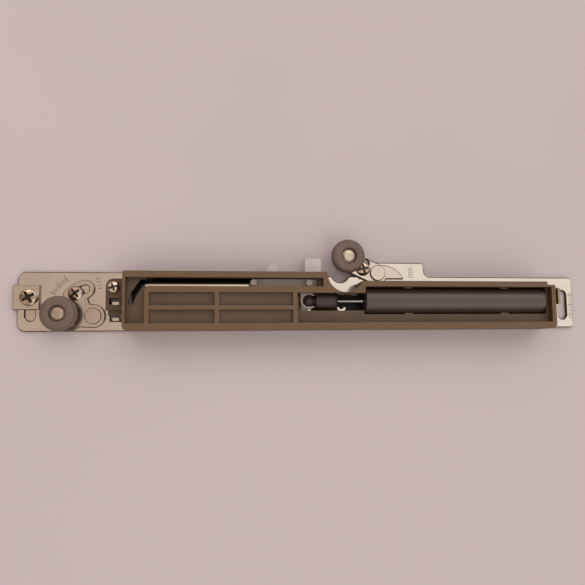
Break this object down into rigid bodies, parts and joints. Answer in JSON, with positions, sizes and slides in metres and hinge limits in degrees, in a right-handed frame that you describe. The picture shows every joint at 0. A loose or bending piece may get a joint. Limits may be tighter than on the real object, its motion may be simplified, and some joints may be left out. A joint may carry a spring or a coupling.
{
  "type": "soft close damper",
  "caption": "Soft close damper for a sliding cabinet door: a flat plated back plate with a moulded housing, an oil damper, a spring-pulled catch, adjustable guide rollers and an end clamp.",
  "frame": {"origin": "on the back face of the plate, halfway along it and below the damper's axis", "axes": "+X along the plate towards the damper's end, +Y across it towards the side on which the catch's fingers stand out, +Z out of the back face towards the housing's rim"},
  "size_m": [0.2615, 0.0413, 0.015],
  "materials": {
    "plated_steel": "bright nickel plating",
    "taupe_moulding": "fine matt moulding",
    "black_tube": "smooth satin black",
    "black_moulding": "matt black moulding",
    "seal_rubber": "soft black",
    "brass_bush": "plain turned",
    "grey_roller": "smooth satin grey-brown moulding",
    "pale_nylon": "milky nylon",
    "spring_steel": "drawn wire"
  },
  "bodies": {
    "base": {"base_plate": "plated_steel", "housing": "taupe_moulding", "housing_screw": "plated_steel", "left_pivot_rivet": "plated_steel", "right_pivot_rivet": "plated_steel", "left_lock_screw": "plated_steel", "right_lock_screw": "plated_steel", "damper_cylinder": "black_tube", "damper_end_cap": "black_moulding", "damper_gland": "black_moulding", "rod_seal": "seal_rubber", "tension_spring": "spring_steel"},
    "left_arm": {"left_roller_arm": "plated_steel", "left_roller_axle": "plated_steel"},
    "left_wheel": {"left_roller": "grey_roller", "left_roller_bush": "brass_bush"},
    "right_arm": {"right_roller_arm": "plated_steel", "right_roller_axle": "plated_steel"},
    "right_wheel": {"right_roller": "grey_roller", "right_roller_bush": "brass_bush"},
    "slider": {"catch": "pale_nylon"},
    "rod": {"piston_rod": "plated_steel", "piston": "black_moulding", "rod_end_adapter": "black_moulding"},
    "clamp": {"end_clamp": "plated_steel", "end_clamp_screw": "plated_steel", "end_clamp_nut": "plated_steel"}
  },
  "joints": [
    {"name": "catch_slide", "type": "slide", "parent": "base", "child": "slider", "axis": [1, 0, 0], "range_m": [-0.048, 0], "stiffness_N_per_m": 150, "springref_m": 0.06, "deforming": ["tension_spring"]},
    {"name": "rod_slide", "type": "slide", "parent": "base", "child": "rod", "axis": [1, 0, 0], "range_m": [-0.048, 0]},
    {"name": "left_arm_pivot", "type": "hinge", "parent": "base", "child": "left_arm", "pos_m": [-0.0975, -0.0062, 0.0024], "axis": [0, 0, 1], "range_deg": [0, 20]},
    {"name": "left_roller_spin", "type": "hinge", "parent": "left_arm", "child": "left_wheel", "pos_m": [-0.1107, -0.0054, 0.0085], "axis": [0, 0, 1], "continuous": true},
    {"name": "right_arm_pivot", "type": "hinge", "parent": "base", "child": "right_arm", "pos_m": [0.0314, 0.0136, 0.0024], "axis": [0, 0, 1], "range_deg": [0, 24]},
    {"name": "right_roller_spin", "type": "hinge", "parent": "right_arm", "child": "right_wheel", "pos_m": [0.01615, 0.0206, 0.0085], "axis": [0, 0, 1], "continuous": true},
    {"name": "clamp_slide", "type": "slide", "parent": "base", "child": "clamp", "axis": [0, 1, 0], "range_m": [-0.0026, 0.0006]}
  ],
  "couplings": [
    {"joint": "rod_slide", "follows": "catch_slide", "ratio": 1}
  ]
}
